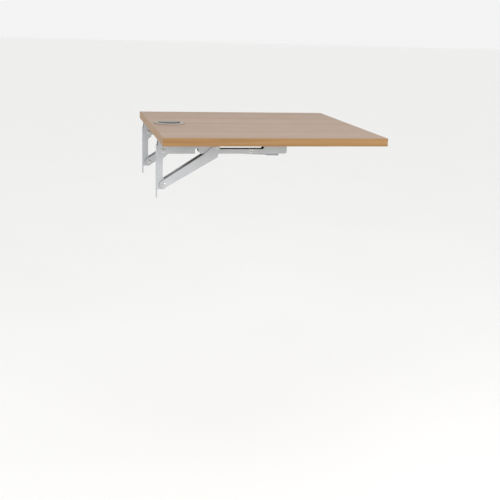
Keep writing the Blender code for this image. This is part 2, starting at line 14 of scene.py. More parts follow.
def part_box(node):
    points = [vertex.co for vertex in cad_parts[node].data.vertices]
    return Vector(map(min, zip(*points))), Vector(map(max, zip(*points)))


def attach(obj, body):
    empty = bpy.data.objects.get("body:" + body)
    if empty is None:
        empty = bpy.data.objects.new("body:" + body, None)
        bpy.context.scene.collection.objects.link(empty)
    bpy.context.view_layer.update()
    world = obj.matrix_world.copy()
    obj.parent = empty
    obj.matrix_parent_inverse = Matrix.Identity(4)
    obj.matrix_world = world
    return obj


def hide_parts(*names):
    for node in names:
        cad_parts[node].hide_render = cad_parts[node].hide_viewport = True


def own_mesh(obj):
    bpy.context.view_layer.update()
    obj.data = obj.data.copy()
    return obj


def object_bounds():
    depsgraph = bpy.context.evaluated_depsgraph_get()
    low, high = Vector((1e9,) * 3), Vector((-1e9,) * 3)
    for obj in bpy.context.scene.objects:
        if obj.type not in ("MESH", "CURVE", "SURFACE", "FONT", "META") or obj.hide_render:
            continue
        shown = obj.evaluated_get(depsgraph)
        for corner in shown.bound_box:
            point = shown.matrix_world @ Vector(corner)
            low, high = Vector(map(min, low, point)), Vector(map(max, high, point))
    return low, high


MM = 0.001


def colour(red, green, blue):
    """A linear colour from the usual 0 to 255 screen values."""
    linear = [c / 12.92 if c <= 0.04045 else ((c + 0.055) / 1.055) ** 2.4
              for c in (red / 255, green / 255, blue / 255)]
    return (*linear, 1.0)


# Camera and light
CAMERA_PLACE = Vector((-0.2317, -2.2838, 0.2883))
CAMERA_YAW = math.radians(12.57)  # from +Y towards +X
CAMERA_PITCH = math.radians(14.71)  # down from level
CAMERA_ROLL = math.radians(1.79)
CAMERA_LENS = 63.52  # in millimetres, on Blender's 36 mm sensor
CAMERA_REACH = 200
FLOOR_Z = -0.87
FLOOR_REACH = 40
WORLD_STRENGTH = 0.9

# Colours
LAMINATE_LIGHT = colour(175, 150, 127)
LAMINATE_DARK = colour(155, 128, 104)
LAMINATE_STREAK = colour(148, 119, 94)
LAMINATE_LINE = colour(140, 110, 86)
LAMINATE_ROSE = colour(168, 134, 113)
LAMINATE_PORE = colour(116, 88, 65)
KRAFT_DARK = colour(84, 62, 46)
KRAFT_LIGHT = colour(118, 92, 70)
BAND_LIGHT = colour(163, 124, 76)
BAND_DARK = colour(142, 103, 58)
BAND_GOLD = colour(169, 128, 73)
BAND_PORE = colour(116, 80, 44)
BAND_ARRIS_SHADE = colour(126, 94, 60)
CHIP_DARK = colour(150, 118, 82)
# Painted shade along the band's arrises.
CHIP_LIGHT = colour(204, 176, 134)
CHIP_DUST = colour(120, 90, 60)
CHIP_GLUE = colour(92, 68, 44)
FLANGE_DARK = colour(156, 148, 139)
FLANGE_LIGHT = colour(168, 160, 151)
FLANGE_SCUFF = colour(184, 178, 170)
CAP_DARK = colour(132, 129, 126)
CAP_LIGHT = colour(146, 143, 140)
CAP_SCUFF = colour(172, 170, 166)
# Painted shade: a dark copy of the grommet plastic for the faces deep inside the grommet and under
# the cap.
SHADED_PLASTIC_DARK = colour(48, 46, 45)
SHADED_PLASTIC_LIGHT = colour(60, 58, 56)
SHADED_PLASTIC_SCUFF = colour(80, 78, 76)
STEEL_DARK = colour(182, 185, 188)
STEEL_LIGHT = colour(192, 194, 197)
STEEL_BARE = colour(211, 213, 215)
# Painted shade for the bracket's deep channels.
STEEL_CHANNEL_SHADE = colour(70, 69, 67)
LEVER_DARK = colour(150, 150, 154)
LEVER_LIGHT = colour(162, 162, 166)
LEVER_BARE = colour(200, 200, 203)
# Painted shade for the lever's deep channels.
LEVER_CHANNEL_SHADE = colour(60, 59, 58)
ZINC_DARK = colour(178, 180, 184)
ZINC_LIGHT = colour(212, 213, 212)
ZINC_WARM = colour(196, 190, 172)
ZINC_EDGE = colour(232, 232, 232)
# Painted highlight: near-white tones for the lever's rivet.
RIVET_GLINT_DARK = colour(240, 240, 238)
RIVET_GLINT_LIGHT = colour(250, 250, 248)
SPRING_DARK = colour(104, 103, 104)
SPRING_LIGHT = colour(150, 150, 152)
FLOOR_DARK = colour(248, 248, 247)
FLOOR_LIGHT = colour(251, 251, 250)

# Fineness of the surfaces
PIN_STEPS = 72  # round a pin, a pin head or a rivet
GROMMET_STEPS = 144
SCREW_STEPS = 36
SCREW_HOLE_STEPS = 32
THREAD_STEPS = 24
SPRING_STEPS = 40
ARC_STEPS = 5  # in each rounded corner of a turned profile
SHARP = 32  # in degrees: a larger turn than this between two faces is an edge
NEARLY_FLAT = 1  # in degrees: faces that turn less than this are joined
SAME_POINT = 0.001 * MM

# Arrises
METAL_ARRIS = 0.3 * MM
LEVER_ARRIS = 0.24 * MM
PLASTIC_ARRIS = 0.45 * MM
SHEET_ARRIS = 0.12 * MM
SCREW_ARRIS = 0.12 * MM

# Fits
CAD_GAP = 0.3 * MM  # between CAD nodes that touch
SEAM = 0.1 * MM  # left open between a laminate sheet and its edge bands
CLEARANCE = 0.2 * MM  # round what passes through a laminate sheet
HEAD_GAP = 0.08 * MM  # under a riveted head or the grommet's flange

# Hardware
LINER_RADIUS = 34 * MM
SCREW_SHANK = 2 * MM
SCREW_HEAD = 2.6 * MM  # the height of a screw's head

SIDES = ("front", "rear")
SCREW_NUMBERS = (1, 2, 3)

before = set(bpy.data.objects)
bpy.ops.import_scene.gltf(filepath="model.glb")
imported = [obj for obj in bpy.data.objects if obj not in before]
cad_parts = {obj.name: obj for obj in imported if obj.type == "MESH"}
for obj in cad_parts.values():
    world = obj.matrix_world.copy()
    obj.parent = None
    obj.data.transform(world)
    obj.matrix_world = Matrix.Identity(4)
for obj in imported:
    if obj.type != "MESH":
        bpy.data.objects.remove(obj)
cad_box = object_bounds()


# Places from the frame


def middle(node):
    low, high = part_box(node)
    return (low + high) / 2


def size(node):
    low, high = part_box(node)
    return high - low


# Materials

MIX_SHARE, MIX_FIRST, MIX_SECOND, MIX_RESULT = 0, 6, 7, 2  # a colour Mix node's sockets


class Look:
    """A procedural material, with its patterns laid out in the piece's own frame in metres."""

    def __init__(self, name, metallic=0.0, specular=0.5):
        self.material = bpy.data.materials.new(name)
        self.material.use_nodes = True
        self.tree = self.material.node_tree
        self.shader = self.tree.nodes["Principled BSDF"]
        self.shader.inputs["Metallic"].default_value = metallic
        self.shader.inputs["Specular IOR Level"].default_value = specular
        self.place = self.node("ShaderNodeTexCoord").outputs["Object"]

    def node(self, kind, **settings):
        made = self.tree.nodes.new(kind)
        for name, value in settings.items():
            setattr(made, name, value)
        return made

    def feed(self, socket, value):
        """Links an input to another node's output, or sets it to a plain value."""
        if isinstance(value, bpy.types.NodeSocket):
            self.tree.links.new(value, socket)
        else:
            socket.default_value = value

    def calc(self, operation, first, second):
        made = self.node("ShaderNodeMath", operation=operation)
        self.feed(made.inputs[0], first)
        self.feed(made.inputs[1], second)
        return made.outputs[0]

    def spread(self, value, low, high, out_low=0.0, out_high=1.0):
        """The stretch of a value from low to high, as out_low to out_high."""
        made = self.node("ShaderNodeMapRange")
        for index, number in enumerate((value, low, high, out_low, out_high)):
            self.feed(made.inputs[index], number)
        return made.outputs[0]

    def between(self, share, low, high):
        """From low where a share is 0 to high where it is 1."""
        return self.spread(share, 0.0, 1.0, low, high)

    def mix(self, share, first, second):
        made = self.node("ShaderNodeMix", data_type="RGBA")
        self.feed(made.inputs[MIX_SHARE], share)
        self.feed(made.inputs[MIX_FIRST], first)
        self.feed(made.inputs[MIX_SECOND], second)
        return made.outputs[MIX_RESULT]

    def over(self, base, mask, amount, tint):
        """The base with a tint laid over it, as strong as the amount where the mask is 1."""
        return self.mix(self.calc("MULTIPLY", mask, amount), base, tint)

    def scaled(self, scale):
        made = self.node("ShaderNodeMapping")
        self.feed(made.inputs["Vector"], self.place)
        made.inputs["Scale"].default_value = scale
        return made.outputs["Vector"]

    def pattern(self, kind, scale, **settings):
        """A texture node, with its scale in waves or cells a metre along X, Y and Z."""
        made = self.node(kind, **settings)
        self.feed(made.inputs["Vector"], self.scaled(scale))
        made.inputs["Scale"].default_value = 1.0
        return made

    def noise(self, scale, detail=3.0, roughness=0.5):
        """Noise about 0.5."""
        made = self.pattern("ShaderNodeTexNoise", scale)
        made.inputs["Detail"].default_value = detail
        made.inputs["Roughness"].default_value = roughness
        return made.outputs["Fac"]

    def cell_tone(self, scale):
        """A level of its own for each cell, from 0 to 1."""
        parts = self.node("ShaderNodeSeparateColor")
        self.feed(parts.inputs[0], self.pattern("ShaderNodeTexVoronoi", scale).outputs["Color"])
        return parts.outputs[0]

    def cell_gap(self, scale):
        """The distance to the nearest line between two cells."""
        made = self.pattern("ShaderNodeTexVoronoi", scale, feature="DISTANCE_TO_EDGE")
        return made.outputs["Distance"]

    def warp(self, scale, reach):
        """Lets every later pattern wander by up to about reach along X, Y and Z."""
        made = self.pattern("ShaderNodeTexNoise", scale)
        shifted = self.node("ShaderNodeVectorMath", operation="MULTIPLY_ADD")
        self.feed(shifted.inputs[0], made.outputs["Color"])
        shifted.inputs[1].default_value = reach
        self.feed(shifted.inputs[2], self.place)
        self.place = shifted.outputs[0]

    def edges(self, radius):
        """1 along the piece's sharp edges, where a rounded normal leans from the real one."""
        rounded_off = self.node("ShaderNodeBevel", samples=6)
        rounded_off.inputs["Radius"].default_value = radius
        flat = self.node("ShaderNodeNewGeometry")
        alike = self.node("ShaderNodeVectorMath", operation="DOT_PRODUCT")
        self.feed(alike.inputs[0], rounded_off.outputs["Normal"])
        self.feed(alike.inputs[1], flat.outputs["Normal"])
        return self.spread(alike.outputs["Value"], 0.995, 0.9)

    def recess(self, reach, low, high):
        """1 on open surfaces, falling to 0 deep in the piece's own channels, bores and corners.

        low and high are the openness that counts as 0 and as 1, looking as far as reach.
        """
        made = self.node("ShaderNodeAmbientOcclusion", samples=8, only_local=True)
        made.inputs["Distance"].default_value = reach
        return self.spread(made.outputs["AO"], low, high)

    def bump(self, height, distance, under=None):
        made = self.node("ShaderNodeBump")
        made.inputs["Distance"].default_value = distance
        self.feed(made.inputs["Height"], height)
        if under:
            self.feed(made.inputs["Normal"], under)
        return made.outputs["Normal"]

    def finish(self, base, roughness, normal):
        self.feed(self.shader.inputs["Base Color"], base)
        self.feed(self.shader.inputs["Roughness"], roughness)
        self.feed(self.shader.inputs["Normal"], normal)
        return self.material


def along_grain(direction, along, across):
    """A pattern scale that is long along one axis and fine across it."""
    return tuple(along if axis == direction else across for axis in "XYZ")


def laminate_look():
    """Beige wood-grain laminate: broad soft bands, straight fine grain and short dark pores."""
    look = Look("laminate")
    look.warp((0.9, 2.0, 2.0), reach=(0.0, 0.006, 0.006))
    bands = look.spread(look.noise(along_grain("X", 0.7, 16), 2.0), 0.36, 0.66)
    streaks = look.spread(look.noise(along_grain("X", 1.4, 190), 5.0, 0.65), 0.4, 0.62)
    lines = look.spread(look.noise(along_grain("X", 2.2, 640), 3.0, 0.6), 0.5, 0.62)
    fibres = look.spread(look.noise(along_grain("X", 9, 1900), 3.0, 0.6), 0.38, 0.64)
    pores = look.spread(look.noise(along_grain("X", 60, 3000), 2.0, 0.5), 0.66, 0.72)
    tint = look.spread(look.noise((2.5, 7.0, 7.0), 2.0), 0.35, 0.65)
    base = look.mix(bands, LAMINATE_DARK, LAMINATE_LIGHT)
    base = look.over(base, streaks, 0.3, LAMINATE_STREAK)
    base = look.over(base, lines, 0.5, LAMINATE_LINE)
    base = look.over(base, fibres, 0.22, LAMINATE_LIGHT)
    base = look.over(base, tint, 0.3, LAMINATE_ROSE)
    base = look.over(base, pores, 0.45, LAMINATE_PORE)
    worn = look.spread(look.noise((22, 22, 22), 4.0, 0.6), 0.3, 0.75)
    sheen = look.between(fibres, 0.40, 0.47)
    roughness = look.calc("ADD", sheen, look.calc("MULTIPLY", worn, 0.07))
    height = look.calc("SUBTRACT", look.calc("MULTIPLY", fibres, 0.35), pores)
    peel = look.bump(look.noise((700, 700, 700), 2.0), 0.01 * MM)
    return look.finish(base, roughness, look.bump(height, 0.04 * MM, peel))


def laminate_edge_look():
    """The laminate's own thickness: brown kraft layers under the printed face."""
    look = Look("laminate_edge")
    layers = look.spread(look.noise((40, 40, 6000), 2.0), 0.35, 0.65)
    base = look.mix(layers, KRAFT_DARK, KRAFT_LIGHT)
    return look.finish(base, look.between(layers, 0.55, 0.7), look.bump(layers, 0.02 * MM))


def edge_band_look(direction):
    """Golden tan band, with its grain along the edge that it covers."""
    look = Look(f"edge_band_{direction.lower()}")
    look.warp((3.0, 3.0, 3.0), reach=(0.004, 0.004, 0.0015))
    bands = look.spread(look.noise(along_grain(direction, 3.0, 130), 3.0), 0.34, 0.66)
    fibres = look.spread(look.noise(along_grain(direction, 12, 1300), 4.0, 0.6), 0.35, 0.68)
    pores = look.spread(look.noise(along_grain(direction, 60, 2400), 2.0), 0.64, 0.74)
    base = look.mix(bands, BAND_DARK, BAND_LIGHT)
    base = look.over(base, fibres, 0.35, BAND_GOLD)
    base = look.over(base, pores, 0.4, BAND_PORE)
    # Painted shade: the band darkens along its sharp arrises, standing in for the shadow at the
    # edge.
    base = look.over(base, look.edges(0.5 * MM), 0.35, BAND_ARRIS_SHADE)
    height = look.calc("SUBTRACT", look.calc("MULTIPLY", fibres, 0.4), pores)
    return look.finish(base, look.between(fibres, 0.38, 0.5), look.bump(height, 0.05 * MM))


def chipboard_look():
    """Raw particle board: flat chips of mixed tone with dark glue between them."""
    look = Look("chipboard", specular=0.2)
    look.warp((120, 120, 120), reach=(0.002, 0.002, 0.001))
    chip = (260, 260, 900)
    gap = look.spread(look.cell_gap(chip), 0.0, 0.12)
    fine = look.noise((900, 900, 2000), 4.0, 0.65)
    base = look.mix(look.cell_tone(chip), CHIP_DARK, CHIP_LIGHT)
    base = look.mix(look.spread(fine, 0.3, 0.7, 0.0, 0.4), base, CHIP_DUST)
    base = look.mix(gap, CHIP_GLUE, base)
    roughness = look.spread(fine, 0.3, 0.7, 0.75, 0.95)
    return look.finish(base, roughness, look.bump(gap, 0.15 * MM))


def plastic_look(name, dark, light, scuff):
    """Moulded plastic with a fine spark-eroded texture and a few soft scuffs."""
    look = Look(name, specular=0.45)
    grain = look.noise((2600, 2600, 2600), 2.0, 0.55)
    cloud = look.spread(look.noise((55, 55, 55), 3.0), 0.3, 0.7)
    scuffs = look.spread(look.noise((240, 34, 90), 5.0, 0.7), 0.6, 0.78)
    base = look.mix(cloud, dark, light)
    base = look.over(base, scuffs, 0.35, scuff)
    base = look.over(base, look.edges(0.5 * MM), 0.3, scuff)
    sheen = look.spread(grain, 0.3, 0.7, 0.42, 0.56)
    roughness = look.calc("ADD", sheen, look.calc("MULTIPLY", scuffs, 0.12))
    return look.finish(base, roughness, look.bump(grain, 0.05 * MM))


def painted_look(name, dark, light, bare, channel_shade):
    """Satin paint on pressed steel: orange peel, handling marks, thin paint on the edges, and
    painted shade deep in the channels.
    """
    look = Look(name, metallic=0.25)
    peel = look.noise((900, 900, 900), 2.0)
    cloud = look.spread(look.noise((26, 26, 26), 4.0, 0.6), 0.3, 0.7)
    rubs = look.spread(look.noise((60, 420, 300), 5.0, 0.7), 0.6, 0.76)
    specks = look.spread(look.noise((1500, 1500, 1500), 2.0), 0.7, 0.78)
    broken = look.spread(look.noise((320, 320, 320), 4.0, 0.65), 0.42, 0.6)
    wear = look.calc("MULTIPLY", look.edges(0.6 * MM), broken)
    base = look.mix(cloud, dark, light)
    base = look.over(base, rubs, 0.22, bare)
    base = look.over(base, specks, 0.25, dark)
    base = look.over(base, wear, 0.7, bare)
    # Painted shade: the colour darkens to a dark tone deep in the piece's own channels, bores and
    # corners, standing in for the shadow there.
    base = look.mix(look.recess(40 * MM, 0.4, 0.85), channel_shade, base)
    sheen = look.between(cloud, 0.36, 0.46)
    roughness = look.calc("SUBTRACT", sheen, look.calc("MULTIPLY", rubs, 0.08))
    fine = look.bump(peel, 0.03 * MM)
    return look.finish(base, roughness, look.bump(rubs, 0.01 * MM, fine))


def zinc_look():
    """Bright zinc plate with the blotchy sheen of barrel plating."""
    look = Look("zinc_plate", metallic=1.0)
    blotch = look.spread(look.noise((240, 240, 240), 4.0, 0.6), 0.32, 0.68)
    base = look.mix(blotch, ZINC_DARK, ZINC_LIGHT)
    base = look.over(base, look.cell_tone((900, 900, 900)), 0.18, ZINC_WARM)
    base = look.over(base, look.edges(0.3 * MM), 0.4, ZINC_EDGE)
    return look.finish(base, look.between(blotch, 0.24, 0.4), look.bump(blotch, 0.02 * MM))


def rivet_look():
    """A painted highlight: near-white, brighter than the zinc, so the rivet shows as a bright spot;
    duller than the pins.
    """
    look = Look("rivet_glint", metallic=0.3)
    cloud = look.spread(look.noise((420, 420, 420), 4.0, 0.6), 0.32, 0.68)
    base = look.mix(cloud, RIVET_GLINT_DARK, RIVET_GLINT_LIGHT)
    return look.finish(base, look.between(cloud, 0.25, 0.35), look.bump(cloud, 0.008 * MM))


def spring_look():
    """Oiled spring wire, with faint drawing marks."""
    look = Look("spring_wire", metallic=1.0)
    marks = look.noise((1800, 1800, 5200), 4.0, 0.65)
    oil = look.spread(look.noise((380, 380, 380), 3.0), 0.35, 0.65)
    base = look.mix(oil, SPRING_DARK, SPRING_LIGHT)
    roughness = look.spread(marks, 0.3, 0.7, 0.22, 0.4)
    return look.finish(base, roughness, look.bump(marks, 0.015 * MM))


def floor_look():
    """Pale, matt and almost even."""
    look = Look("floor", specular=0.3)
    soft = look.noise((2.0, 2.0, 2.0), 3.0)
    fine = look.noise((160, 160, 160), 3.0)
    base = look.mix(soft, FLOOR_DARK, FLOOR_LIGHT)
    return look.finish(base, look.spread(soft, 0.3, 0.7, 0.6, 0.7), look.bump(fine, 0.05 * MM))


# Shapes


def new_mesh(bm, name):
    bmesh.ops.recalc_face_normals(bm, faces=bm.faces)
    mesh = bpy.data.meshes.new(name)
    bm.to_mesh(mesh)
    bm.free()
    return mesh


def baked(obj):
    """The object's mesh with its modifiers applied. The object itself is removed."""
    bpy.context.view_layer.update()
    evaluated = obj.evaluated_get(bpy.context.evaluated_depsgraph_get())
    mesh = bpy.data.meshes.new_from_object(evaluated)
    bpy.data.objects.remove(obj)
    return mesh


def loose_object(name, data):
    obj = bpy.data.objects.new(name, data)
    bpy.context.scene.collection.objects.link(obj)
    return obj


def rounded(corners):
    """The line through (r, z, radius) corners, where each corner with a radius becomes an arc."""
    points = []
    for i, (r, z, radius) in enumerate(corners):
        here = Vector((r, z))
        if not radius:
            points.append(here)
            continue
        before = (Vector(corners[i - 1][:2]) - here).normalized()
        after = (Vector(corners[(i + 1) % len(corners)][:2]) - here).normalized()
        half = before.angle(after) / 2
        centre = here + (before + after).normalized() * radius / math.sin(half)
        start = here + before * radius / math.tan(half) - centre
        end = here + after * radius / math.tan(half) - centre
        sweep = start.angle_signed(end)
        for step in range(ARC_STEPS + 1):
            points.append(centre + Matrix.Rotation(-sweep * step / ARC_STEPS, 2) @ start)
    return points


def and_mirrored(upper):
    """The upper half of a profile of (r, z, radius) corners, and the same below z = 0."""
    return upper + [(r, -z, radius) for r, z, radius in reversed(upper)]


def turned(name, profile, closed=False, steps=PIN_STEPS):
    """(r, z) points, top to bottom down the outer side, turned round the Z axis."""
    edges = [(i, i + 1) for i in range(len(profile) - 1)]
    if closed:
        edges.append((len(profile) - 1, 0))
    line = bpy.data.meshes.new(name)
    line.from_pydata([(r, 0, z) for r, z in profile], edges, [])
    obj = loose_object(name, line)
    screw = obj.modifiers.new("turn", "SCREW")
    screw.steps = steps
    screw.render_steps = steps
    screw.use_merge_vertices = True
    screw.merge_threshold = 0.01 * MM
    return baked(obj)


def combine(mesh, other, operation="DIFFERENCE"):
    """A Boolean of two closed meshes."""
    obj = loose_object(mesh.name, mesh)
    tool = loose_object(f"{mesh.name}_tool", other)
    boolean = obj.modifiers.new("combine", "BOOLEAN")
    boolean.operation = operation
    boolean.solver = "EXACT"
    boolean.object = tool
    made = baked(obj)
    bpy.data.objects.remove(tool)
    return made


def join_flats(obj):
    flats = obj.modifiers.new("flats", "DECIMATE")
    flats.decimate_type = "DISSOLVE"
    flats.angle_limit = math.radians(NEARLY_FLAT)


def add_bevel(obj, width, segments=2, limit=SHARP):
    bevel = obj.modifiers.new("arris", "BEVEL")
    bevel.width = width
    bevel.segments = segments
    bevel.limit_method = "ANGLE"
    bevel.angle_limit = math.radians(limit)
    bevel.use_clamp_overlap = True
    bevel.harden_normals = True


def bevelled(mesh, width, segments, limit):
    obj = loose_object(mesh.name, mesh)
    join_flats(obj)
    add_bevel(obj, width, segments, limit)
    return baked(obj)


def coil(name, section, radius_at, height_at, turns, steps):
    """A closed tube: a section of (out, up) points carried round the Z axis, closed at both ends.

    radius_at and height_at take the share of the way from the first loop to the last.
    """
    bm = bmesh.new()
    loops = []
    count = int(turns * steps)
    for i in range(count + 1):
        share = i / count
        angle = 2 * math.pi * i / steps
        outwards = Vector((math.cos(angle), math.sin(angle), 0))
        radius, height = radius_at(share), height_at(share)
        loops.append([bm.verts.new(outwards * (radius + out) + Vector((0, 0, height + up)))
                      for out, up in section])
    for here, there in zip(loops, loops[1:]):
        for j in range(len(section)):
            bm.faces.new((here[j], here[j - 1], there[j - 1], there[j]))
    bm.faces.new(loops[0])
    bm.faces.new(reversed(loops[-1]))
    return new_mesh(bm, name)


def circle(radius, steps):
    turns = [2 * math.pi * i / steps for i in range(steps)]
    return [(radius * math.cos(turn), radius * math.sin(turn)) for turn in turns]


def placed(mesh, place, along="Z"):
    """A mesh made about the Z axis, turned to lie along Y if asked, and moved to its place."""
    if along == "Y":
        mesh.transform(Matrix.Rotation(math.radians(-90), 4, "X"))
    mesh.transform(Matrix.Translation(place))
    return mesh


def add_piece(name, mesh, look, body, slot, *nodes, limit=SHARP):
    """A piece that stands for CAD nodes. Turns of more than limit degrees stay sharp."""
    mesh.shade_smooth()
    mesh.set_sharp_from_angle(angle=math.radians(limit))
    mesh.materials.clear()
    mesh.materials.append(look)
    piece = loose_object(name, mesh)
    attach(piece, body)
    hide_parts(*nodes)
    return piece


def repaint(mesh, look, picks):
    """A second look for the faces that picks() is true of."""
    mesh.materials.append(look)
    for face in mesh.polygons:
        if picks(face):
            face.material_index = 1


# Leaf


def flat_sheet(name, low, high, holes):
    """A sheet with round holes and softly rounded edges. holes has (x, y, radius, steps)."""
    curve = bpy.data.curves.new(name, "CURVE")
    curve.dimensions = "2D"
    curve.fill_mode = "BOTH"
    curve.bevel_depth = SHEET_ARRIS
    curve.bevel_resolution = 1
    curve.offset = -SHEET_ARRIS
    curve.extrude = (high.z - low.z) / 2 - SHEET_ARRIS
    outlines = [[(low.x, low.y), (high.x, low.y), (high.x, high.y), (low.x, high.y)]]
    for x, y, radius, steps in holes:
        outlines.append([(x + dx, y + dy) for dx, dy in circle(radius, steps)])
    for outline in outlines:
        spline = curve.splines.new("POLY")
        spline.points.add(len(outline) - 1)
        spline.use_cyclic_u = True
        for point, (x, y) in zip(spline.points, outline):
            point.co = (x, y, 0, 1)
    mesh = baked(loose_object(name, curve))
    mesh.transform(Matrix.Translation((0, 0, (low.z + high.z) / 2)))
    bm = bmesh.new()
    bm.from_mesh(mesh)
    bmesh.ops.remove_doubles(bm, verts=bm.verts, dist=SAME_POINT)
    return new_mesh(bm, name)


def make_laminate(node, screws=False):
    low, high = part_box(node)
    grow = Vector((CAD_GAP - SEAM, CAD_GAP - SEAM, 0))
    centre = middle("grommet_ring")
    holes = [(centre.x, centre.y, LINER_RADIUS + CLEARANCE, GROMMET_STEPS)]
    if screws:
        for side in SIDES:
            for number in SCREW_NUMBERS:
                place = middle(f"{side}_leaf_screw_{number}")
                holes.append((place.x, place.y, SCREW_SHANK + CLEARANCE, SCREW_HOLE_STEPS))
    mesh = flat_sheet(f"{node}_sheet", low - grow, high + grow, holes)
    # The low limit keeps the rounded edge from bending the flat faces' shading.
    add_piece(f"{node}_sheet", mesh, LOOKS["laminate"], "leaf", "laminate", node, limit=15)
    repaint(mesh, LOOKS["laminate_edge"], lambda face: abs(face.normal.z) < 0.5)


def make_grommet_ring():
    """The liner: a flange on the leaf, a seat for the cap, and barbs that grip the board."""
    low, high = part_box("grommet_ring")
    centre = middle("grommet_ring")
    flange = size("grommet_ring").x / 2
    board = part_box("edge_band_front")[1].z
    recess = size("grommet_cap").x / 2 + 0.4 * MM
    wall, bore = LINER_RADIUS - 2.8 * MM, LINER_RADIUS - 4.8 * MM
    seat, under = board - 1.9 * MM, board + HEAD_GAP
    corners = [
        (recess, high.z, 0.6 * MM), (flange - 1.6 * MM, high.z, 1.5 * MM),
        (flange, high.z - 1.3 * MM, 0.8 * MM), (flange, under, 0.15 * MM),
        (LINER_RADIUS, under, 0),
    ]
    barbs, first_barb, pitch = 4, board - 4 * MM, 3 * MM
    for number in range(barbs):
        crest = first_barb - number * pitch
        corners += [
            (LINER_RADIUS, crest + 0.4 * MM, 0), (LINER_RADIUS + 0.22 * MM, crest, 0),
            (LINER_RADIUS, crest - 1.2 * MM, 0),
        ]
    corners += [
        (LINER_RADIUS, low.z + 0.9 * MM, 0.5 * MM), (LINER_RADIUS - 0.8 * MM, low.z, 0.25 * MM),
        (wall, low.z, 0.3 * MM), (wall, seat - 2.6 * MM, 0.8 * MM),
        (bore, seat - 1.1 * MM, 0.2 * MM), (bore, seat, 0.25 * MM), (recess, seat, 0.3 * MM),
    ]
    mesh = turned("grommet_liner", rounded(corners), closed=True, steps=GROMMET_STEPS)
    mesh = placed(mesh, Vector((centre.x, centre.y, 0)))
    add_piece("grommet_liner", mesh, LOOKS["flange"], "leaf", "grommet_plastic", "grommet_ring")

    def inside(face):
        out = (face.center - centre).xy.length
        below_seat = out < LINER_RADIUS and face.center.z < seat - 0.5 * MM
        return out < bore + 0.5 * MM or below_seat

    # Painted shade: the bore and the inside below the seat get a dark copy of the same plastic,
    # standing in for the shadow inside the grommet.
    repaint(mesh, LOOKS["liner"], inside)


def make_grommet_cap():
    """The cap: a shallow dish with a raised rim and ribs under it, cut away in front for cables."""
    low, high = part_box("grommet_cap")
    centre = Vector((*middle("grommet_ring").xy, 0))
    radius = size("grommet_cap").x / 2
    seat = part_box("edge_band_front")[1].z - 1.6 * MM
    skirt, skirt_wall = 28.9 * MM, 1.4 * MM
    under, dish = high.z - 1.5 * MM, high.z - 0.45 * MM
    rim = radius - 3.2 * MM
    corners = [
        (0, dish, 0), (rim - 1.2 * MM, dish, 0.6 * MM), (rim, high.z, 0.6 * MM),
        (radius, high.z, 0.9 * MM), (radius, seat, 0.2 * MM), (skirt, seat, 0.2 * MM),
        (skirt, low.z, 0.3 * MM), (skirt - skirt_wall, low.z, 0.3 * MM),
        (skirt - skirt_wall, under, 0.5 * MM), (0, under, 0),
    ]
    mesh = turned("cable_cap", rounded(corners), steps=GROMMET_STEPS)
    rib_place = Matrix.Translation((20 * MM, 0, under - 0.8 * MM))
    rib_size = Matrix.Diagonal((15.5 * MM, 1.2 * MM, 2 * MM, 1))
    for turn in (50, 90, 130):  # a fan that stays behind the cut
        rib = bmesh.new()
        about = Matrix.Rotation(math.radians(turn), 4, "Z")
        bmesh.ops.create_cube(rib, size=1, matrix=about @ rib_place @ rib_size)
        mesh = combine(mesh, new_mesh(rib, "rib"), "UNION")
    cut = 60 * MM  # the radius of the cap's curved front edge
    kept = bmesh.new()
    bmesh.ops.create_cone(kept, cap_ends=True, segments=GROMMET_STEPS, radius1=cut, radius2=cut,
                          depth=200 * MM, matrix=Matrix.Translation((0, low.y - centre.y + cut, 0)))
    mesh = combine(mesh, new_mesh(kept, "kept"), "INTERSECT")
    mesh = placed(bevelled(mesh, PLASTIC_ARRIS, 3, 40), centre)
    add_piece("cable_cap", mesh, LOOKS["cap"], "cap", "grommet_plastic", "grommet_cap")

    def underneath(face):
        out = (face.center - centre).xy.length
        return face.center.z < under + 0.1 * MM and out < radius - 0.5 * MM

    # Painted shade: the cap's underside gets a dark copy of the plastic, standing in for the shadow
    # under it.
    repaint(mesh, LOOKS["liner"], underneath)


# Brackets


def headed_pin(shank, head, half, cap):
    """A shank with a domed head on both ends, each with the small dimple that the press leaves."""
    end = half + cap
    dimple, dimple_floor = head * 0.22, end - 0.22 * cap
    return and_mirrored([
        (0, dimple_floor, 0), (dimple, dimple_floor, 0.15 * MM), (dimple * 1.5, end, 0.2 * MM),
        (head * 0.58, end, head * 0.25), (head * 0.97, end - 0.5 * cap, 0.4 * MM),
        (head, half, 0.15 * MM), (shank, half, 0.1 * MM),
    ])


def make_pins(side):
    """The two pivot pins. Each one's heads sit just outside the part that turns on it."""
    for name, part, shank in (("fold_pin", "arm", 3.5 * MM), ("strut_pin", "strut", 3.25 * MM)):
        node = f"{side}_{name}"
        length, head = size(node).y, size(node).x / 2
        half = size(f"{side}_{part}").y / 2 + 0.1 * MM
        profile = rounded(headed_pin(shank, head, half, length / 2 - half))
        mesh = placed(turned(node, profile), middle(node), "Y")
        add_piece(f"{node}_turned", mesh, LOOKS["zinc"], "base", "zinc_steel", node)


def make_slot_pin(side):
    """The pin that runs in the arm's slot: chamfered ends, and a groove near each."""
    node = f"{side}_slot_pin"
    half, radius = size(node).y / 2, size(node).x / 2
    chamfer, groove, depth = 0.6 * MM, 8.9 * MM, 0.3 * MM
    profile = rounded(and_mirrored([
        (0, half, 0), (radius - chamfer, half, 0.1 * MM), (radius, half - chamfer, 0.3 * MM),
        (radius, groove + depth, 0), (radius - depth, groove, 0), (radius, groove - depth, 0),
    ]))
    mesh = placed(turned(node, profile), middle(node), "Y")
    add_piece(f"{node}_turned", mesh, LOOKS["zinc"], f"{side}_slider", "zinc_steel", node)


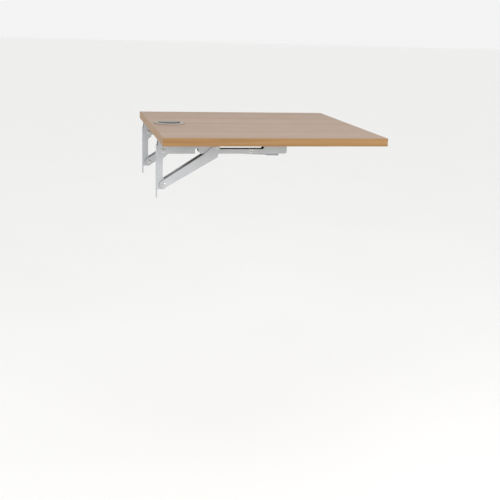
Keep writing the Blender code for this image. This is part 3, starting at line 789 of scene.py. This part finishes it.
def make_pin_heads(side):
    """The slot pin's ends, riveted over outside the strut."""
    strut_low, strut_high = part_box(f"{side}_strut")
    for face, sign in (("outer", -1), ("inner", 1)):
        node = f"{side}_pin_head_{face}"
        low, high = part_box(node)
        plate, outermost, innermost = (
            (strut_low.y, low.y, high.y) if sign < 0 else (strut_high.y, high.y, low.y))
        rise, stub = abs(outermost - plate), abs(innermost - plate)
        head, neck = size(node).x / 2, 2.8 * MM
        corners = [
            (0, rise * 0.8, 0), (head * 0.25, rise * 0.8, 0.15 * MM),
            (head * 0.34, rise, 0.2 * MM), (head * 0.6, rise, head * 0.25),
            (head * 0.97, rise * 0.45, 0.35 * MM), (head, HEAD_GAP, 0.12 * MM),
            (neck, HEAD_GAP, 0), (neck, -stub, 0.1 * MM), (0, -stub, 0),
        ]
        mesh = turned(node, rounded(corners))
        mesh.transform(Matrix.Rotation(math.radians(-90 * sign), 4, "X"))
        mesh.transform(Matrix.Translation((middle(node).x, plate, middle(node).z)))
        add_piece(f"{node}_riveted", mesh, LOOKS["zinc"], f"{side}_strut_set", "zinc_steel", node)


def make_rivet(side):
    """The lever's hollow rivet, with a rolled lip on both ends."""
    node = f"{side}_lever_rivet"
    half, radius = size(node).y / 2, size(node).x / 2
    bore = 1.8 * MM
    lip, roll = bore + 0.5 * MM, half - 0.9 * MM
    corners = [
        (radius, half, 0.25 * MM), (radius, -half, 0.25 * MM), (lip, -half, 0.25 * MM),
        (bore, -roll, 0.6 * MM), (bore, roll, 0.6 * MM), (lip, half, 0.25 * MM),
    ]
    mesh = placed(turned(node, rounded(corners), closed=True), middle(node), "Y")
    add_piece(f"{node}_rolled", mesh, LOOKS["rivet"], "leaf", "zinc_steel", node)


def make_spring(side):
    """The coil between the arm's web and the lever's tongue, with a closed turn at each end."""
    node = f"{side}_lever_spring"
    low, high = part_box(node)
    centre = middle(node)
    wire = 0.5 * MM
    radius = size(node).y / 2 - wire
    turns = 7
    closed = 1 / turns  # the share of the wire in each closed turn
    start, end = low.z + wire, high.z - wire

    def height(share):
        pitch = 2 * wire
        first = min(share / closed, 1) * pitch
        last = max((share - 1 + closed) / closed, 0) * pitch
        open_share = min(max((share - closed) / (1 - 2 * closed), 0), 1)
        return start + first + last + open_share * (end - start - 2 * pitch)

    mesh = coil(node, circle(wire, 14), lambda share: radius, height, turns, SPRING_STEPS)
    mesh.transform(Matrix.Translation((centre.x, centre.y, 0)))
    look = LOOKS["spring"]
    spring = add_piece(f"{node}_coil", mesh, look, "leaf", "spring_steel", node, limit=60)
    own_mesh(spring)


def leaf_screw_mesh():
    """A pan-head wood screw, tip up: cross recess, domed head, plain neck and a tapering thread."""
    node = "front_leaf_screw_1"
    low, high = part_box(node)
    bottom, tip = low.z, high.z
    bearing = bottom + SCREW_HEAD  # the face of the head that the screw pulls with
    head, core, neck = size(node).x / 2, SCREW_SHANK * 0.66, SCREW_SHANK * 0.9
    profile = [
        (0, tip, 0), (core, tip - 4.2 * MM, 0.8 * MM), (core, bearing + 1.2 * MM, 0.2 * MM),
        (neck, bearing + 0.6 * MM, 0.1 * MM), (neck, bearing, 0.1 * MM),
        (head, bearing, 0.3 * MM), (head, bearing - 0.45 * SCREW_HEAD, 0.7 * MM),
        (head * 0.62, bottom, 0.8 * MM), (0, bottom, 0),
    ]
    mesh = turned("leaf_screw", rounded(profile), steps=SCREW_STEPS)
    blade_length, blade_width, blade_height = 4.6 * MM, 0.95 * MM, 10 * MM
    blade_top = bearing - 0.35 * SCREW_HEAD
    for turn in (0, 90):
        blade = bmesh.new()
        matrix = (Matrix.Rotation(math.radians(turn), 4, "Z")
                  @ Matrix.Translation((0, 0, blade_top - blade_height / 2))
                  @ Matrix.Diagonal((blade_length, blade_width, blade_height, 1)))
        bmesh.ops.create_cube(blade, size=1, matrix=matrix)
        mesh = combine(mesh, new_mesh(blade, "recess"))
    mesh = bevelled(mesh, SCREW_ARRIS, 2, 40)

    start, end, pitch = bearing + 1.8 * MM, tip - 1.2 * MM, 1.7 * MM
    sunk, half_width = 0.25 * MM, 0.42 * MM  # the thread's root, inside the core
    section = [(-sunk, -half_width), (SCREW_SHANK - core, 0.0), (-sunk, half_width)]

    def radius(share):
        taper_start = 0.72
        near_tip = max(share - taper_start, 0) / (1 - taper_start)
        return core * (1 - 0.8 * near_tip) - (sunk if share < 0.02 else 0)

    def height(share):
        return start + share * (end - start)

    thread = coil("thread", section, radius, height, (end - start) / pitch, THREAD_STEPS)
    return combine(mesh, thread, "UNION")


def make_screws(side, mesh):
    for number in SCREW_NUMBERS:
        node = f"{side}_leaf_screw_{number}"
        place = middle(node)
        turn = 37 * number + (15 if side == "rear" else 0)  # no two stopped at the same angle
        own = mesh.copy()
        own.transform(Matrix.Rotation(math.radians(turn), 4, "Z"))
        own.transform(Matrix.Translation((place.x, place.y, 0)))
        look = LOOKS["zinc"]
        add_piece(f"{node}_threaded", own, look, "leaf", "zinc_steel", node, limit=40)


# Carried-over CAD nodes


def dress(node, look, arris=0.0):
    """A new look for a CAD node. With an arris, its triangles are joined and its edges eased."""
    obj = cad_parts[node]
    for slot in obj.material_slots:
        slot.material = look
    if arris:
        weld = obj.modifiers.new("weld", "WELD")
        weld.merge_threshold = 2 * SAME_POINT
        join_flats(obj)
        add_bevel(obj, arris)


def dress_nodes():
    dress("leaf_core", LOOKS["chipboard"])
    for edge, grain in (("front", "X"), ("rear", "X"), ("inner", "Y"), ("outer", "Y")):
        dress(f"edge_band_{edge}", LOOKS[f"band_{grain}"])
    for side in SIDES:
        for name in ("arm", "strut", "wall_plate"):
            dress(f"{side}_{name}", LOOKS["steel"], METAL_ARRIS)
        dress(f"{side}_lever", LOOKS["lever"], LEVER_ARRIS)


# Stage


def make_camera():
    data = bpy.data.cameras.new("camera")
    data.lens = CAMERA_LENS
    data.clip_end = CAMERA_REACH
    camera = loose_object("camera", data)
    camera.matrix_world = (
        Matrix.Translation(CAMERA_PLACE)
        @ Matrix.Rotation(-CAMERA_YAW, 4, "Z")
        @ Matrix.Rotation(math.radians(90) - CAMERA_PITCH, 4, "X")
        @ Matrix.Rotation(CAMERA_ROLL, 4, "Z"))
    bpy.context.scene.camera = camera


def make_area_light(name, place, aim, power, extent, tint):
    data = bpy.data.lights.new(name, "AREA")
    data.shape = "RECTANGLE"
    data.size, data.size_y = extent
    data.energy = power
    data.color = tint
    light = loose_object(name, data)
    light.location = place
    light.rotation_euler = (aim - Vector(place)).to_track_quat("-Z", "Y").to_euler()


def make_stage():
    bm = bmesh.new()
    bmesh.ops.create_grid(bm, x_segments=2, y_segments=2, size=FLOOR_REACH)
    floor = loose_object("floor", new_mesh(bm, "floor"))
    floor.location.z = FLOOR_Z
    floor.data.materials.append(floor_look())
    world = bpy.data.worlds.new("studio")
    world.use_nodes = True
    background = world.node_tree.nodes["Background"]
    background.inputs["Color"].default_value = (1.0, 1.0, 1.0, 1.0)
    background.inputs["Strength"].default_value = WORLD_STRENGTH
    bpy.context.scene.world = world
    aim = (cad_box[1] + cad_box[0]) / 2
    make_area_light("key", (1.3, -2.4, 0.9), aim,
                    power=26, extent=(1.6, 1.2), tint=(1.0, 0.99, 0.97))
    make_area_light("fill", (-1.6, -1.6, 1.8), aim,
                    power=8, extent=(1.8, 1.8), tint=(0.97, 0.98, 1.0))
    bpy.context.scene.view_settings.view_transform = "Standard"


LOOKS = {
    "laminate": laminate_look(),
    "laminate_edge": laminate_edge_look(),
    "band_X": edge_band_look("X"),
    "band_Y": edge_band_look("Y"),
    "chipboard": chipboard_look(),
    "flange": plastic_look("flange_plastic", FLANGE_DARK, FLANGE_LIGHT, FLANGE_SCUFF),
    "cap": plastic_look("cap_plastic", CAP_DARK, CAP_LIGHT, CAP_SCUFF),
    # A dark copy of the grommet plastic, used as painted shade.
    "liner": plastic_look("liner_plastic", SHADED_PLASTIC_DARK, SHADED_PLASTIC_LIGHT, SHADED_PLASTIC_SCUFF),
    "steel": painted_look("bracket_paint", STEEL_DARK, STEEL_LIGHT, STEEL_BARE, STEEL_CHANNEL_SHADE),
    "lever": painted_look("lever_paint", LEVER_DARK, LEVER_LIGHT, LEVER_BARE, LEVER_CHANNEL_SHADE),
    "zinc": zinc_look(),
    "rivet": rivet_look(),
    "spring": spring_look(),
}

make_camera()
make_stage()
make_laminate("top_laminate")
make_laminate("bottom_laminate", screws=True)
make_grommet_ring()
make_grommet_cap()
leaf_screw = leaf_screw_mesh()
for side in SIDES:
    make_pins(side)
    make_slot_pin(side)
    make_pin_heads(side)
    make_rivet(side)
    make_spring(side)
    make_screws(side, leaf_screw)
dress_nodes()
